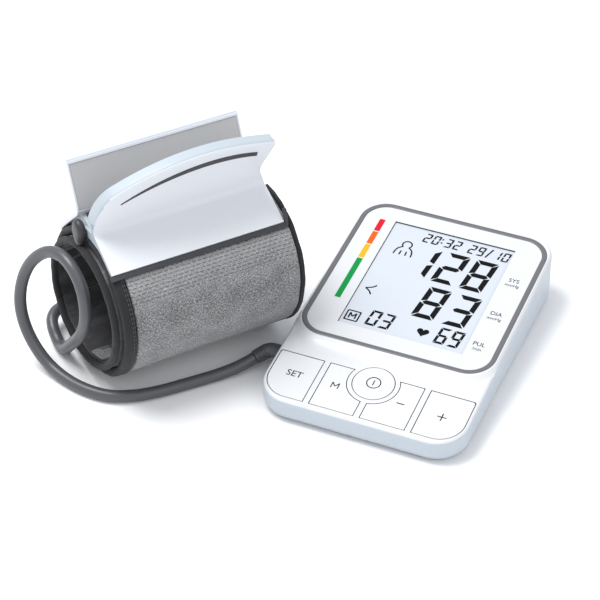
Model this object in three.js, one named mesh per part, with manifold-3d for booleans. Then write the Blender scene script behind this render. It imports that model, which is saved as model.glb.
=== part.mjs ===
// Upper arm blood pressure monitor: a table-top unit with display and keypad, and a hinged clip-on
// arm cuff joined to it by an air hose. Millimetres, +Z up, +Y to the back of the unit.
import * as THREE from 'three';
import { mergeVertices } from 'three/addons/utils/BufferGeometryUtils.js';
import Module from 'manifold-3d';

const wasm = await Module();
wasm.setup();

// ---- Driving dimensions: display unit ----
const HALF_W = 55;              // half of the 110 mm width
const FRONT = -80.5;            // front edge
const BACK = 80.5;              // back edge
const CORNER_R = 17;
const SPLIT_Z = 5;              // parting line of the two shells
const WALL = 2.2;
const TOP_WALL = 3;
const KEY_SLOPE = 0.12;         // keypad plane: 14.25 mm high at the front edge
const KEY_Z = 14.25;
const LCD_SLOPE = 0.095;        // display plane: 17.6 mm high at the front edge, 32.9 mm at the back
const LCD_Z = 17.6;
const STEP_Y = -42.6;           // foot of the step between the two planes
const RING = { hw: 53.2, front: -33.4, back: 75.4, r: 14.9, width: 2.8, depth: 1.4 };
const WINDOW = { x0: -34, x1: 36, y0: -21, y1: 63.7 };
const KEY_ROW = { hw: 53.2, front: -77.5, back: -47.5, corner: 13.5, width: 24.3, pitch: 27.35 };
const START = { y: -53.5, r: 10.9, cut: 13.5 };
const KEY_TRAVEL = 0.6;
const SOCKET = { y: -41, z: 9.8 };
const SCREWS = [[-42, -28], [42, -28], [-42, 62], [42, 62]];
const PCB_TOP = 8.6;

// ---- Driving dimensions: arm cuff ----
const CUFF_ANGLE = 51.6;        // cuff axis, anticlockwise from +X
const CUFF_AT = [-146, -79.5];  // left end of the clip, on the ground below the cuff's centre
const OVAL = { a: 48.8, b: 39.9, z: 43.5, ca: 0.809, sa: -0.588 };
const SLEEVE = [-4.6, 100.6];
const CLIP = [0, 95];
const HINGE = { e: 0.6, z: 87, r: 1.6 };
const SPLIT_TOP = 120.7;        // oval angles of the two slits between the cuff's halves
const SPLIT_LOW = 8;
const HOSE_R = 3.2;

const PLASTIC = 0xf2f4f7;
const GREY = 0x6f7075;

// ---- Geometry helpers ----
function solid(geometry) {
  const bare = geometry.clone();
  bare.deleteAttribute('normal');
  bare.deleteAttribute('uv');
  const merged = mergeVertices(bare, 1e-4);
  return new wasm.Manifold(new wasm.Mesh({
    numProp: 3,
    vertProperties: new Float32Array(merged.attributes.position.array),
    triVerts: new Uint32Array(merged.index.array),
  }));
}

function geometryOf(body) {
  const data = body.getMesh();
  const geometry = new THREE.BufferGeometry();
  geometry.setAttribute('position', new THREE.BufferAttribute(new Float32Array(data.vertProperties), 3));
  geometry.setIndex(new THREE.BufferAttribute(new Uint32Array(data.triVerts), 1));
  geometry.computeVertexNormals();
  return geometry;
}

function union(first, ...rest) {
  return rest.reduce((sum, body) => sum.add(body), first);
}

// A closed body through rings of equal point count, capped at both ends.
function loft(rings) {
  const count = rings[0].length;
  const points = rings.flat();
  const index = [];
  for (let k = 0; k + 1 < rings.length; k += 1) {
    for (let i = 0; i < count; i += 1) {
      const a = k * count + i;
      const b = k * count + ((i + 1) % count);
      index.push(a, b, b + count, a, b + count, a + count);
    }
  }
  const caps = THREE.ShapeUtils.triangulateShape(rings[0].map((p) => new THREE.Vector2(p.x, p.y)), []);
  const last = (rings.length - 1) * count;
  for (const [a, b, c] of caps) {
    index.push(a, c, b, last + a, last + b, last + c);
  }
  const geometry = new THREE.BufferGeometry();
  geometry.setAttribute('position',
    new THREE.Float32BufferAttribute(points.flatMap((p) => [p.x, p.y, p.z]), 3));
  geometry.setIndex(index);
  return solid(geometry);
}

// Counter-clockwise outline of a plan with its own front and back corner radii.
function outline(hw, front, back, frontR, backR, steps = 6) {
  const corners = [
    [hw - backR, back - backR, backR, 0], [-hw + backR, back - backR, backR, 90],
    [-hw + frontR, front + frontR, frontR, 180], [hw - frontR, front + frontR, frontR, 270],
  ];
  return corners.flatMap(([x, y, r, start]) => Array.from({ length: steps + 1 }, (_, i) => {
    const turn = THREE.MathUtils.degToRad(start + (90 * i) / steps);
    return new THREE.Vector2(x + r * Math.cos(turn), y + r * Math.sin(turn));
  }));
}

const keyPlane = (y) => KEY_Z + KEY_SLOPE * (y - FRONT);
const lcdPlane = (y) => LCD_Z + LCD_SLOPE * (y - FRONT);
const flat = () => 0;

// Stack of outlines [plan, height], bottom first, each lying parallel to the given plane.
function stack(levels, plane = flat) {
  const lift = (plan, height) => plan.map((p) => new THREE.Vector3(p.x, p.y, plane(p.y) + height));
  return loft(levels.map(([plan, height]) => lift(plan, height)));
}

function slab(x0, x1, y0, y1, z0, z1, plane = flat) {
  const plan = [[x1, y1], [x0, y1], [x0, y0], [x1, y0]].map(([x, y]) => new THREE.Vector2(x, y));
  return stack([[plan, z0], [plan, z1]], plane);
}

function disc(x, y, r, z0, z1, steps = 20, plane = flat) {
  const plan = Array.from({ length: steps }, (_, i) => {
    const turn = (2 * Math.PI * i) / steps;
    return new THREE.Vector2(x + r * Math.cos(turn), y + r * Math.sin(turn));
  });
  return stack([[plan, z0], [plan, z1]], plane);
}

// A turned body about +Z from a list of [radius, height].
function turned(profile, steps = 20) {
  return solid(new THREE.LatheGeometry(profile.map(([r, z]) => new THREE.Vector2(r, z)), steps)
    .rotateX(Math.PI / 2));
}

// Round rod between two points.
function rod(from, to, r, r2 = r, steps = 14) {
  const start = new THREE.Vector3(...from);
  const end = new THREE.Vector3(...to);
  const geometry = new THREE.CylinderGeometry(r2, r, start.distanceTo(end), steps);
  const aim = new THREE.Quaternion().setFromUnitVectors(
    new THREE.Vector3(0, 1, 0), end.clone().sub(start).normalize());
  geometry.applyQuaternion(aim);
  geometry.translate(...start.add(end).multiplyScalar(0.5).toArray());
  return solid(geometry);
}

// Round tube of one radius along a smooth route.
function hose(route, r, steps, sides, bore = 0) {
  const path = new THREE.CatmullRomCurve3(route.map((p) => new THREE.Vector3(...p)), false, 'centripetal');
  const section = new THREE.Shape();
  section.absarc(0, 0, r, 0, 2 * Math.PI, false);
  if (bore > 0) {
    const hole = new THREE.Path();
    hole.absarc(0, 0, bore, 0, 2 * Math.PI, true);
    section.holes.push(hole);
  }
  return new THREE.ExtrudeGeometry(section, {
    steps, extrudePath: path, bevelEnabled: false, curveSegments: sides,
  });
}

const part = new THREE.Group();
part.name = 'arm_blood_pressure_monitor';

function add(name, body, color) {
  const geometry = body.isBufferGeometry ? body : geometryOf(body);
  const mesh = new THREE.Mesh(geometry, new THREE.MeshStandardMaterial({ color, roughness: 0.5 }));
  mesh.name = name;
  part.add(mesh);
  return mesh;
}

// ---- Display unit: shells ----
function housingBlocks(inset, drop, base) {
  const round = CORNER_R - inset;
  const plan = (hw, front, back) => outline(hw - inset, front + inset, back - inset, round, round);
  const atBase = (ring) => ring.map((p) => new THREE.Vector3(p.x, p.y, base));
  const lower = (p, height, plane) => new THREE.Vector3(p.x, p.y, plane(p.y) + height - drop);
  const level = (ring, height, plane) => ring.map((p) => lower(p, height, plane));
  const display = loft([
    atBase(plan(55, STEP_Y, BACK)),
    level(plan(55, STEP_Y, BACK), -2.42, lcdPlane),
    level(plan(55, -39.5, BACK), -2.05, lcdPlane),
    level(plan(54.9, -37.2, 80.4), -1.5, lcdPlane),
    level(plan(54.5, -35.4, 79.7), -0.7, lcdPlane),
    level(plan(53.5, -33.8, 78.3), 0, lcdPlane),
  ]);
  const back = -22;
  const keyPlan = (hw, front) => outline(hw - inset, front + inset, back, CORNER_R - inset, 0.5);
  const keypad = loft([
    atBase(keyPlan(55, FRONT)),
    level(keyPlan(55, FRONT), -1.3, keyPlane),
    level(keyPlan(54.6, -80.1), -0.4, keyPlane),
    level(keyPlan(53.8, -79.3), 0, keyPlane),
  ]);
  return display.add(keypad);
}

const keyColumns = [
  ['set_button', -53.2, -28.9], ['memory_button', -25.85, -1.55],
  ['minus_button', 1.55, 25.85], ['plus_button', 28.9, 53.2],
];

function keyBody(x0, x1, grow, z0, z1) {
  const row = outline(KEY_ROW.hw + grow, KEY_ROW.front - grow, KEY_ROW.back + grow, KEY_ROW.corner + grow, 1);
  return stack([[row, z0], [row, z1]], keyPlane)
    .intersect(slab(x0 - grow, x1 + grow, -90, -30, z0 - 1, z1 + 1, keyPlane))
    .subtract(disc(0, START.y, START.cut - grow, z0 - 1, z1 + 1, 32, keyPlane));
}

function startBody(grow, z0, z1) {
  return disc(0, START.y, START.r + grow, z0, z1, 32, keyPlane);
}

function bossBody(x, y) {
  return disc(x, y, 3.2, 7.2, 30).intersect(housingBlocks(0.8, 1, 4));
}

function topHousing() {
  let shell = housingBlocks(0, 0, SPLIT_Z + 0.1).subtract(housingBlocks(WALL, TOP_WALL, SPLIT_Z - 1));
  for (const [x, y] of SCREWS) {
    shell = shell.add(bossBody(x, y));
  }
  for (const [x, y] of SCREWS) {
    shell = shell.subtract(disc(x, y, 1.4, 6, 14.5));
  }
  for (const [, x0, x1] of keyColumns) {
    shell = shell.subtract(keyBody(x0, x1, 0, -4.2, 2));
  }
  const recess = outline(RING.hw, RING.front, RING.back, RING.r, RING.r);
  return shell.subtract(startBody(0.3, -4.2, 3))
    .subtract(stack([[recess, -RING.depth], [recess, 3]], lcdPlane))
    .subtract(slab(WINDOW.x0, WINDOW.x1, WINDOW.y0, WINDOW.y1, -6, 1, lcdPlane))
    .subtract(rod([-60, SOCKET.y, SOCKET.z], [-50, SOCKET.y, SOCKET.z], 4.1, 4.1, 24));
}

function bottomHousing() {
  const round = (inset) => CORNER_R - inset;
  const plan = (inset) =>
    outline(HALF_W - inset, FRONT + inset, BACK - inset, round(inset), round(inset));
  let tray = stack([[plan(2.6), 1.2], [plan(1), 3.7], [plan(0.7), SPLIT_Z - 0.1]])
    .subtract(stack([[plan(3.4), 3.2], [plan(3.4), 9]]));
  const box = slab(-31.8, 31.8, 20.8, 78, 3, 18.4).subtract(slab(-30.4, 30.4, 22.2, 77.2, 2, 19));
  tray = tray.add(box).subtract(slab(-30.4, 30.4, 22.2, 90, 0, 3.4));
  for (const [x, y] of SCREWS) {
    tray = tray.add(disc(x, y, 4, 3, 6.9));
  }
  for (const [x, y] of SCREWS) {
    tray = tray.subtract(disc(x, y, 1.6, 0, 8)).subtract(disc(x, y, 2.9, 0, 3.6));
  }
  return tray;
}

function batteryDoor() {
  const plate = slab(-30.1, 30.1, 22.5, 77.8, 1.25, 3.1);
  const grip = [0, 1, 2, 3].map((i) => slab(-9, 9, 66 + 2.4 * i, 67.2 + 2.4 * i, 0.9, 1.7));
  return union(plate, ...grip);
}

add('top_housing', topHousing(), PLASTIC);
add('bottom_housing', bottomHousing(), PLASTIC);
add('battery_door', batteryDoor(), PLASTIC);

// ---- Display unit: display ----
function displayRing() {
  const outer = outline(RING.hw - 0.1, RING.front + 0.1, RING.back - 0.1, RING.r - 0.1, RING.r - 0.1);
  const inner = outline(RING.hw - RING.width, RING.front + RING.width, RING.back - RING.width,
    RING.r - RING.width, RING.r - RING.width);
  return stack([[outer, -RING.depth + 0.05], [outer, 0.1]], lcdPlane)
    .subtract(stack([[inner, -5], [inner, 5]], lcdPlane));
}

function displayLens() {
  const gap = RING.width + 0.1;
  const plan = outline(RING.hw - gap, RING.front + gap, RING.back - gap, RING.r - gap, RING.r - gap);
  return stack([[plan, -RING.depth + 0.05], [plan, 0]], lcdPlane);
}

add('display_ring', displayRing(), GREY);
add('display_lens', displayLens(), 0xdfe8ee);
add('lcd_module', slab(-36.5, 38, -24, 66.7, -5.9, -3.3, lcdPlane), 0xcfdde4);

// ---- Display unit: keypad ----
for (const [name, x0, x1] of keyColumns) {
  const middle = (x0 + x1) / 2;
  const cap = keyBody(x0, x1, -0.3, -3.4, 0.2);
  const flange = keyBody(x0, x1, 0.8, -4.3, -3.35).intersect(housingBlocks(WALL + 0.4, TOP_WALL + 0.25, 4));
  const stem = disc(middle, -65, 2.2, 11.9, 14);
  add(name, union(cap, flange, stem), PLASTIC);
  add(name.replace('button', 'switch'), union(slab(middle - 3, middle + 3, -68, -62, PCB_TOP + 0.05, 10.6),
    disc(middle, -65, 1.6, 9.5, 10.95)), GREY);
}
const startCap = union(startBody(0, -3.4, 0.3), startBody(1, -4.3, -3.35), disc(0, START.y, 2.2, 12.7, 15));
add('start_stop_button', startCap, PLASTIC);
add('start_stop_switch', union(slab(-3, 3, START.y - 3, START.y + 3, PCB_TOP + 0.05, 11.2),
  disc(0, START.y, 1.6, 9.5, 11.9)), GREY);

function mainBoard() {
  let board = stack([[outline(49.5, -74, -18, 12, 2), 7], [outline(49.5, -74, -18, 12, 2), PCB_TOP]])
    .subtract(slab(-60, -39, -48, -33, 0, 20));
  for (const [x, y] of SCREWS.slice(0, 2)) {
    board = board.subtract(disc(x, y, 4.6, 0, 20));
  }
  return board;
}
add('main_board', mainBoard(), 0x2c6b4a);

// ---- Display unit: air system ----
function alongX(profile, x, y, z, steps = 20) {
  return solid(new THREE.LatheGeometry(profile.map(([r, h]) => new THREE.Vector2(r, h)), steps)
    .rotateZ(-Math.PI / 2).translate(x, y, z));
}

add('air_socket', alongX([
  [2.4, 0], [3.9, 0], [3.9, 8.2], [1.3, 8.2], [1.3, 11], [0.6, 11], [0.6, 7.2], [2.4, 7.2], [2.4, 0],
], -54.9, SOCKET.y, SOCKET.z), GREY);
add('pump_motor', rod([-11.7, 10, 11], [13, 10, 11], 7.4, 7.4, 20), 0xa8adb2);
add('pump_head', union(slab(-30, -12, 1.5, 18.5, 3.6, 19), rod([-21, 2, 12], [-21, -2, 12], 1.3)), 0x3c3f45);
add('inner_air_tube', hose([
  [-43.6, -41, 9.8], [-40, -41, 10.4], [-35.5, -38.5, 11.2], [-33.5, -31, 11.8], [-33.5, -20, 12],
  [-31, -12, 12], [-25, -7.4, 12], [-21.4, -5, 12], [-21, -2.3, 12],
], 1.7, 24, 4, 1.0), 0xd9dde0);
add('exhaust_valve', union(slab(18, 30, -4, 12, 3.5, 15), rod([24, -3, 10], [24, -7, 10], 1.3)), 0x3c3f45);
add('pressure_sensor',
  union(slab(-26, -19, -36, -29, PCB_TOP + 0.05, 12.6), disc(-22.5, -32.5, 1.2, 12.5, 14.8)),
  0x202226);

// ---- Display unit: power ----
const CELL = [[0, 0], [6.9, 0], [7.2, 0.4], [7.2, 48.6], [6.8, 49], [2.7, 49], [2.7, 50.4], [0, 50.4]];
[-22.2, -7.4, 7.4, 22.2].forEach((x, i) => {
  const cell = turned(CELL, 18).rotate([-90 + 180 * (i % 2), 0, 0])
    .translate([x, i % 2 ? 75.2 : 24.8, 10.9]);
  add(`battery_cell_${i + 1}`, cell, 0x8a9097);
});
add('battery_contact_front', slab(-28, 28, 22.6, 23.1, 6, 16), 0xc8ccd0);
add('battery_contact_back', slab(-28, 28, 76.5, 77, 6, 16), 0xc8ccd0);

SCREWS.forEach(([x, y], i) => {
  add(`housing_screw_${i + 1}`, turned([
    [0, 1.7], [2.3, 1.7], [2.7, 2.1], [2.7, 3.5], [1.3, 3.5], [1.3, 13.2], [0.8, 14], [0, 14],
  ], 14).translate([x, y, 0]), 0xb8bcc2);
});
[[-40, -66], [40, -66], [-46, 44], [46, 44]].forEach(([x, y], i) => {
  add(`foot_${i + 1}`, disc(x, y, 4, 0, 1.19, 18), 0x505258);
});

// ---- Arm cuff, in its own frame: X along the cuff's axis, Y to the back of the clip ----
function ovalPoint(turn, depth) {
  const t = THREE.MathUtils.degToRad(turn);
  const u = (OVAL.a - depth) * Math.cos(t);
  const v = (OVAL.b - depth) * Math.sin(t);
  return new THREE.Vector2(u * OVAL.ca - v * OVAL.sa, OVAL.z + u * OVAL.sa + v * OVAL.ca);
}

// Part of the cuff's wall between two depths and two oval angles.
function shellBody(from, to, outer, inner, s0, s1, steps = Math.ceil((to - from) / 6.5)) {
  const turns = Array.from({ length: steps + 1 }, (_, i) => from + ((to - from) * i) / steps);
  const points = turns.map((turn) => ovalPoint(turn, outer))
    .concat(turns.reverse().map((turn) => ovalPoint(turn, inner)));
  return prismS(points, s0, s1);
}

// A section in the (Y, Z) plane of the cuff, carried along its axis.
function prismS(points, s0, s1) {
  const shape = new THREE.Shape(points);
  const geometry = new THREE.ExtrudeGeometry(shape, { depth: s1 - s0, bevelEnabled: false });
  const turn = new THREE.Matrix4().set(0, 0, 1, s0, 1, 0, 0, 0, 0, 1, 0, 0, 0, 0, 0, 1);
  return solid(geometry.applyMatrix4(turn));
}

const vector = ([x, y]) => new THREE.Vector2(x, y);
const vectors = (list) => list.map(([e, z]) => new THREE.Vector2(e, z));

function toScene(body) {
  return body.rotate([0, 0, CUFF_ANGLE]).translate([CUFF_AT[0], CUFF_AT[1], 0]);
}

function addCuff(name, body, color) {
  return add(name, toScene(body), color);
}

const FRONT_ARC = [SPLIT_TOP + 7, 360 + SPLIT_LOW - 0.3];
const REAR_ARC = [SPLIT_LOW + 0.3, SPLIT_TOP - 8];
const LINER_FRONT = [SPLIT_TOP + 0.4, 360 + SPLIT_LOW - 0.3];
const LINER_REAR = [SPLIT_LOW + 0.3, SPLIT_TOP - 0.4];

function cuffHalf(side, [from, to], [linerFrom, linerTo]) {
  const [s0, s1] = SLEEVE;
  addCuff(`${side}_sleeve`, shellBody(from, to, 0, 2, s0 + 11, s1 - 3), 0x9a9a9c);
  addCuff(`${side}_jaw`, shellBody(from, to, 2.3, 4.1, s0 + 10.7, s1 - 2.7), 0x2b2c30);
  addCuff(`${side}_liner`, shellBody(linerFrom, linerTo, 4.4, 8, s0, s1 - 0.5), 0x2a2a2d);
  addCuff(`${side}_left_binding`, shellBody(from, to, -0.3, 4.1, s0 + 4, s0 + 10.4), 0x3a3a3e);
  addCuff(`${side}_right_binding`, shellBody(from, to, -0.3, 4.1, s1 - 2.4, s1), 0x3a3a3e);
}
cuffHalf('front', FRONT_ARC, LINER_FRONT);
cuffHalf('rear', REAR_ARC, LINER_REAR);

const [CLIP_LEFT, CLIP_RIGHT] = CLIP;
const hingeRod = (s0, s1, r) => rod([s0, HINGE.e, HINGE.z], [s1, HINGE.e, HINGE.z], r, r, 20);

// A shape drawn square on to the cuff's axis, (S, Z), cut through from back to front.
function cutThrough(points, e0, e1) {
  const shape = new THREE.Shape(points);
  const geometry = new THREE.ExtrudeGeometry(shape, { depth: e1 - e0, bevelEnabled: false });
  const turn = new THREE.Matrix4().set(1, 0, 0, 0, 0, 0, -1, e1, 0, 1, 0, 0, 0, 0, 0, 1);
  return solid(geometry.applyMatrix4(turn));
}

// Points of a quadratic curve, ends included.
function curve(start, control, end, count) {
  const line = new THREE.QuadraticBezierCurve(vector(start), vector(control), vector(end));
  return line.getPoints(count);
}

// Everything that a lever's plate must stay out of: the fabric and the strip that lies on it.
function fabricZone() {
  const points = Array.from({ length: 72 }, (_, i) => ovalPoint(5 * i, -0.7));
  return prismS(points, -10, 110);
}

function lever(plateSection, webSection, outlinePoints, websAt) {
  const plate = prismS(vectors(plateSection), ...CLIP)
    .intersect(cutThrough(outlinePoints, -60, 60))
    .subtract(fabricZone());
  const webs = websAt.map((s) => prismS(vectors(webSection), s, s + 2.2)
    .subtract(fabricZone())
    .add(hingeRod(s, s + 2.2, 3.6)));
  return union(plate, ...webs).subtract(hingeRod(-10, 110, HINGE.r + 0.05));
}

const FRONT_OUTLINE = [
  vector([CLIP_LEFT, 60]), vector([CLIP_RIGHT, 60]),
  vector([CLIP_RIGHT, 96]), vector([CLIP_RIGHT - 4.5, 104]),
  ...curve([CLIP_RIGHT - 4, 113], [CLIP_RIGHT - 3, 119], [CLIP_RIGHT + 1, 122.5], 3),
  ...curve([CLIP_RIGHT, 124.5], [52, 141], [10, 119.5], 14),
  ...curve([8, 118.5], [3, 112], [CLIP_LEFT, 96], 4),
];
const FRONT_PLATE = [
  [-32.6, 82.3], [-11.2, 94.2], [-23.4, 126], [-29.2, 141.1], [-26.8, 142.1], [-20.9, 126.8],
  [-8.6, 94.6], [-8.8, 92.4], [-31.2, 80],
];
const FRONT_WEB = [
  [-31, 82], [-9.2, 93.4], [0.6, 90.4], [2.5, 87], [-3.5, 86.8], [-8.7, 87.4], [-16, 87.2], [-24, 84.8],
];

// Crescent that follows the front lever's arched edge.
function crescent(grow) {
  return [
    ...curve([13.5 - grow, 111.6 + grow], [52, 134 + grow], [86 + grow, 119.6 + grow], 12),
    ...curve([86 + grow, 118.2 - grow], [52, 129 - grow], [13.5 - grow, 110.8 - grow], 12),
  ];
}

function alongGrip(from, to) {
  return prismS(vectors([
    [-11.2 + from, 93.6], [-29.4 + from, 141], [-29.4 + to, 141], [-11.2 + to, 93.6],
  ]), CLIP_LEFT - 5, CLIP_RIGHT + 5);
}

const crescentSlot = cutThrough(crescent(0.2), -60, 20).intersect(alongGrip(-6, 1.1));
const frontLever = lever(FRONT_PLATE, FRONT_WEB, FRONT_OUTLINE, [0, 31, 62, 92.8]);
addCuff('front_lever', frontLever.subtract(crescentSlot), PLASTIC);
addCuff('grip_inlay', cutThrough(crescent(0), -60, 20).intersect(alongGrip(0.2, 0.9)), 0x4c4e54);

const REAR_PLATE = [
  [35.5, 69.5], [9.6, 94.6], [20, 118.4], [17.4, 119.6], [6.4, 94.4], [9, 91.6], [33.5, 67.5],
];
const REAR_WEB = [
  [34, 70.5], [8.6, 93.6], [1.4, 90.6], [-2.4, 88.6], [0.6, 86.4], [6, 86.2], [12, 84.6], [20, 80.6],
  [27, 75.2], [31, 71.4],
];
const REAR_OUTLINE = [
  vector([CLIP_LEFT, 40]), vector([CLIP_RIGHT, 40]), vector([CLIP_RIGHT, 130]), vector([CLIP_LEFT, 130]),
];

function rearPanel(grow) {
  const low = 2 - grow;
  const high = 25 + grow;
  const [de, dz] = [0.4, 0.9165];
  const point = (along, deep) => [6.4 + de * along + dz * deep, 94.4 + dz * along - de * deep];
  return prismS(vectors([
    point(low, -grow * 3), point(low, 0.9 + grow), point(high, 0.9 + grow), point(high, -grow * 3),
  ]), CLIP_LEFT + 2.4 - grow, CLIP_RIGHT - 2.4 + grow);
}

addCuff('rear_lever', lever(REAR_PLATE, REAR_WEB, REAR_OUTLINE, [2.6, 33.5, 59.5, 90.2])
  .subtract(rearPanel(0.15)), PLASTIC);
addCuff('rear_lever_panel', rearPanel(0), 0xa9a9ab);

// ---- Arm cuff: hinge, trim and hose ----
addCuff('hinge_pin', hingeRod(-3.6, 98.4, HINGE.r), 0x9a9fa5);

function capBody(s0, s1) {
  const profile = (grow) => Array.from({ length: 20 }, (_, i) => {
    const t = (2 * Math.PI * i) / 20;
    return new THREE.Vector2(HINGE.e + (4.4 - grow) * Math.cos(t), 88.6 + (7 - grow) * Math.sin(t));
  });
  return prismS(profile(0), s0, s1)
    .subtract(hingeRod(s0 < 0 ? -3.7 : s0 - 1, s0 < 0 ? 0 : 98.5, HINGE.r + 0.05));
}
addCuff('left_hinge_cap', capBody(-4.6, -0.4), 0x55565c);
addCuff('right_hinge_cap', capBody(95.4, 99.2), 0x55565c);

function springRoute() {
  const turns = 7;
  const coil = Array.from({ length: turns * 8 + 1 }, (_, i) => {
    const t = (2 * Math.PI * i) / 8;
    return [40 + (i * 1.7) / 8, HINGE.e + 2.9 * Math.cos(t), HINGE.z + 2.9 * Math.sin(t)];
  });
  return [[40, HINGE.e + 2.9, HINGE.z - 1.4], ...coil, [40 + turns * 1.7, HINGE.e + 2.9, HINGE.z + 1.4]];
}

const sceneMatrix = new THREE.Matrix4().makeTranslation(CUFF_AT[0], CUFF_AT[1], 0)
  .multiply(new THREE.Matrix4().makeRotationZ(THREE.MathUtils.degToRad(CUFF_ANGLE)));
add('torsion_spring', hose(springRoute(), 0.55, 150, 3).applyMatrix4(sceneMatrix), 0xb8bcc2);

addCuff('front_trim_strip', shellBody(164.5, 169.5, -1.8, -0.3, CLIP_LEFT, CLIP_RIGHT + 1.5, 4), 0x55565c);

const PORT = [42.6, 10.5];
addCuff('hose_port', union(
  rod([18, ...PORT], [34, ...PORT], 3.9, 3.9, 18),
  rod([9, ...PORT], [18.5, ...PORT], 3.5, 3.9, 18),
), GREY);

const HOSE_ROUTE = [
  [8.7, ...PORT], [4.5, 42.6, 10.5], [0, 42.3, 10.4], [-4.5, 40.5, 10.1], [-8, 36.6, 9.2], [-9.7, 31.6, 7.2],
  [-10.2, 26, 4.6], [-10.5, 20, 3.8], [-10.4, 14, 6.6], [-10.2, 8.4, 12.2], [-10, 2, 19.2],
  [-10, -5, 26.8], [-10, -12, 36], [-10, -16.8, 45.4], [-10, -19, 56], [-10.2, -17, 67], [-11, -9.5, 74.6],
  [-12.6, 0.8, 76.8], [-15.6, 11.5, 73.4], [-20.2, 19.6, 65.6], [-24.1, 24.8, 55], [-27.2, 26.6, 42.5],
  [-28.4, 25.4, 31], [-27.8, 21.2, 20.5], [-25.8, 14.5, 12], [-22.7, 5.5, 6], [-18.2, -7, 3.6],
  [-12.4, -18.5, 3.3], [-4.4, -28, 3.3], [7.5, -34.3, 3.3], [19, -37, 3.3], [30.2, -38.2, 3.3],
  [41, -39, 3.3], [51, -39.9, 3.6], [59, -40.6, 4.4], [66, -41, 5.7], [72.5, -41.1, 7.5],
];
const PLUG_CORNER = [81.72, -41.14, SOCKET.z];
add('cuff_hose', hose(HOSE_ROUTE, HOSE_R, 78, 5).applyMatrix4(sceneMatrix), GREY);

function airPlug() {
  const toWorld = (p) => new THREE.Vector3(...p).applyMatrix4(sceneMatrix).toArray();
  const corner = toWorld(PLUG_CORNER);
  const mouth = toWorld([72.8, -41.12, 7.6]);
  const ball = solid(new THREE.SphereGeometry(4.1, 16, 10).translate(...corner));
  return union(
    rod([-54.8, SOCKET.y, SOCKET.z], [-49.5, SOCKET.y, SOCKET.z], 2.25, 2.1, 16),
    rod([corner[0], SOCKET.y, SOCKET.z], [-55.4, SOCKET.y, SOCKET.z], 4.1, 3.6, 18),
    rod([-56, SOCKET.y, SOCKET.z], [-54.5, SOCKET.y, SOCKET.z], 2.25, 2.25, 16),
    ball,
    rod(corner, mouth, 4.1, 3.7, 18),
  );
}
add('air_plug', airPlug(), GREY);

// ---- Common origin: centre of the footprint without the hose and its plug, at the rest surface ----
const FREE_CORD = ['cuff_hose', 'air_plug'];
const extent = new THREE.Box3();
for (const mesh of part.children) {
  if (!FREE_CORD.includes(mesh.name)) {
    extent.expandByObject(mesh);
  }
}
const middle = extent.getCenter(new THREE.Vector3());
for (const mesh of part.children) {
  mesh.geometry.translate(-middle.x, -middle.y, -extent.min.z);
}

export default part;
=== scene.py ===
# Upper arm blood pressure monitor: table-top unit, clip-on arm cuff and air hose.
import math

import bmesh
import bpy
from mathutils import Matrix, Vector, noise


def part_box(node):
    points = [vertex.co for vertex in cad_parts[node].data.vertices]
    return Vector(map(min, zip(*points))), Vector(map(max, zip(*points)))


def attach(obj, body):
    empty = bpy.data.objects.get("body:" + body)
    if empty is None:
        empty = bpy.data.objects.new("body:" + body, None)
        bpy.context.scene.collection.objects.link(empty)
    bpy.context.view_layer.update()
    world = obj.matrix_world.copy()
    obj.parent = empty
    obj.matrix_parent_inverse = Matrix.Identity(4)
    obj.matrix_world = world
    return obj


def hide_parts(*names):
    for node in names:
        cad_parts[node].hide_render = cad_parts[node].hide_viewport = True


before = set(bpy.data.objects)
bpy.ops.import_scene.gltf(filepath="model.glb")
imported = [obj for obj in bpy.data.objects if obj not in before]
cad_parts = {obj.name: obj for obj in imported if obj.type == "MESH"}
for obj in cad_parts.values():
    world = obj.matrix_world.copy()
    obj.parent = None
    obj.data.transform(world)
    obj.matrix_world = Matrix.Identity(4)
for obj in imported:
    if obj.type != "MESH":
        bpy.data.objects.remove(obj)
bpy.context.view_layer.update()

MM = 0.001

# ---- Places: the unit's ground centre and the cuff's own frame (S along it, E to its back) ----
low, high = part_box("bottom_housing")
UNIT = ((low[0] + high[0]) / 2, (low[1] + high[1]) / 2)
CUFF_TURN = math.radians(51.6)
CUFF_AT = (-146.0, -79.5)
OVAL = dict(a=48.8, b=39.9, z=43.5, ca=0.809, sa=-0.588)
LINER_LEFT = -4.6
CUFF_RIGHT = 100.6
CLIP_RIGHT = 95.0
HINGE_E = 0.6
HINGE_Z = 87.0
TOP_SLIT = 120.7
LOW_SLIT = 8.0

# ---- Driving sizes of the unit, in millimetres ----
HALF_WIDTH = 55
BACK = 80.5
CORNER = 17
SEAM_Z = 5.15
STEP_Y = -42.6
KEYPAD_BACK = -22
KEY_ROW = dict(hw=53.2, front=-77.5, back=-47.5, corner=13.5, inner_corner=1.4)
KEY_COLUMNS = (("set", -53.2, -28.9), ("memory", -25.85, -1.55), ("minus", 1.55, 25.85), ("plus", 28.9, 53.2))
START_Y = -53.5
START_WELL = 11.2
START_CLEARING = 13.5
WELL_DEPTH = 3.0
CAP_DEPTH = 2.0
RING = dict(hw=53.2, front=-33.4, back=75.4, r=14.9, width=2.8)
SOCKET = (-41.0, 9.8)
SCREWS = ((-42, -28), (42, -28), (-42, 62), (42, 62))


def unit(x, y, z):
    """A point beside the unit's ground centre, from millimetres."""
    return Vector((UNIT[0] + x * MM, UNIT[1] + y * MM, z * MM))


def cuff(s, e, z):
    """A point in the cuff's own frame, from millimetres."""
    x = CUFF_AT[0] + s * math.cos(CUFF_TURN) - e * math.sin(CUFF_TURN)
    y = CUFF_AT[1] + s * math.sin(CUFF_TURN) + e * math.cos(CUFF_TURN)
    return unit(x, y, z)


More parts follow.
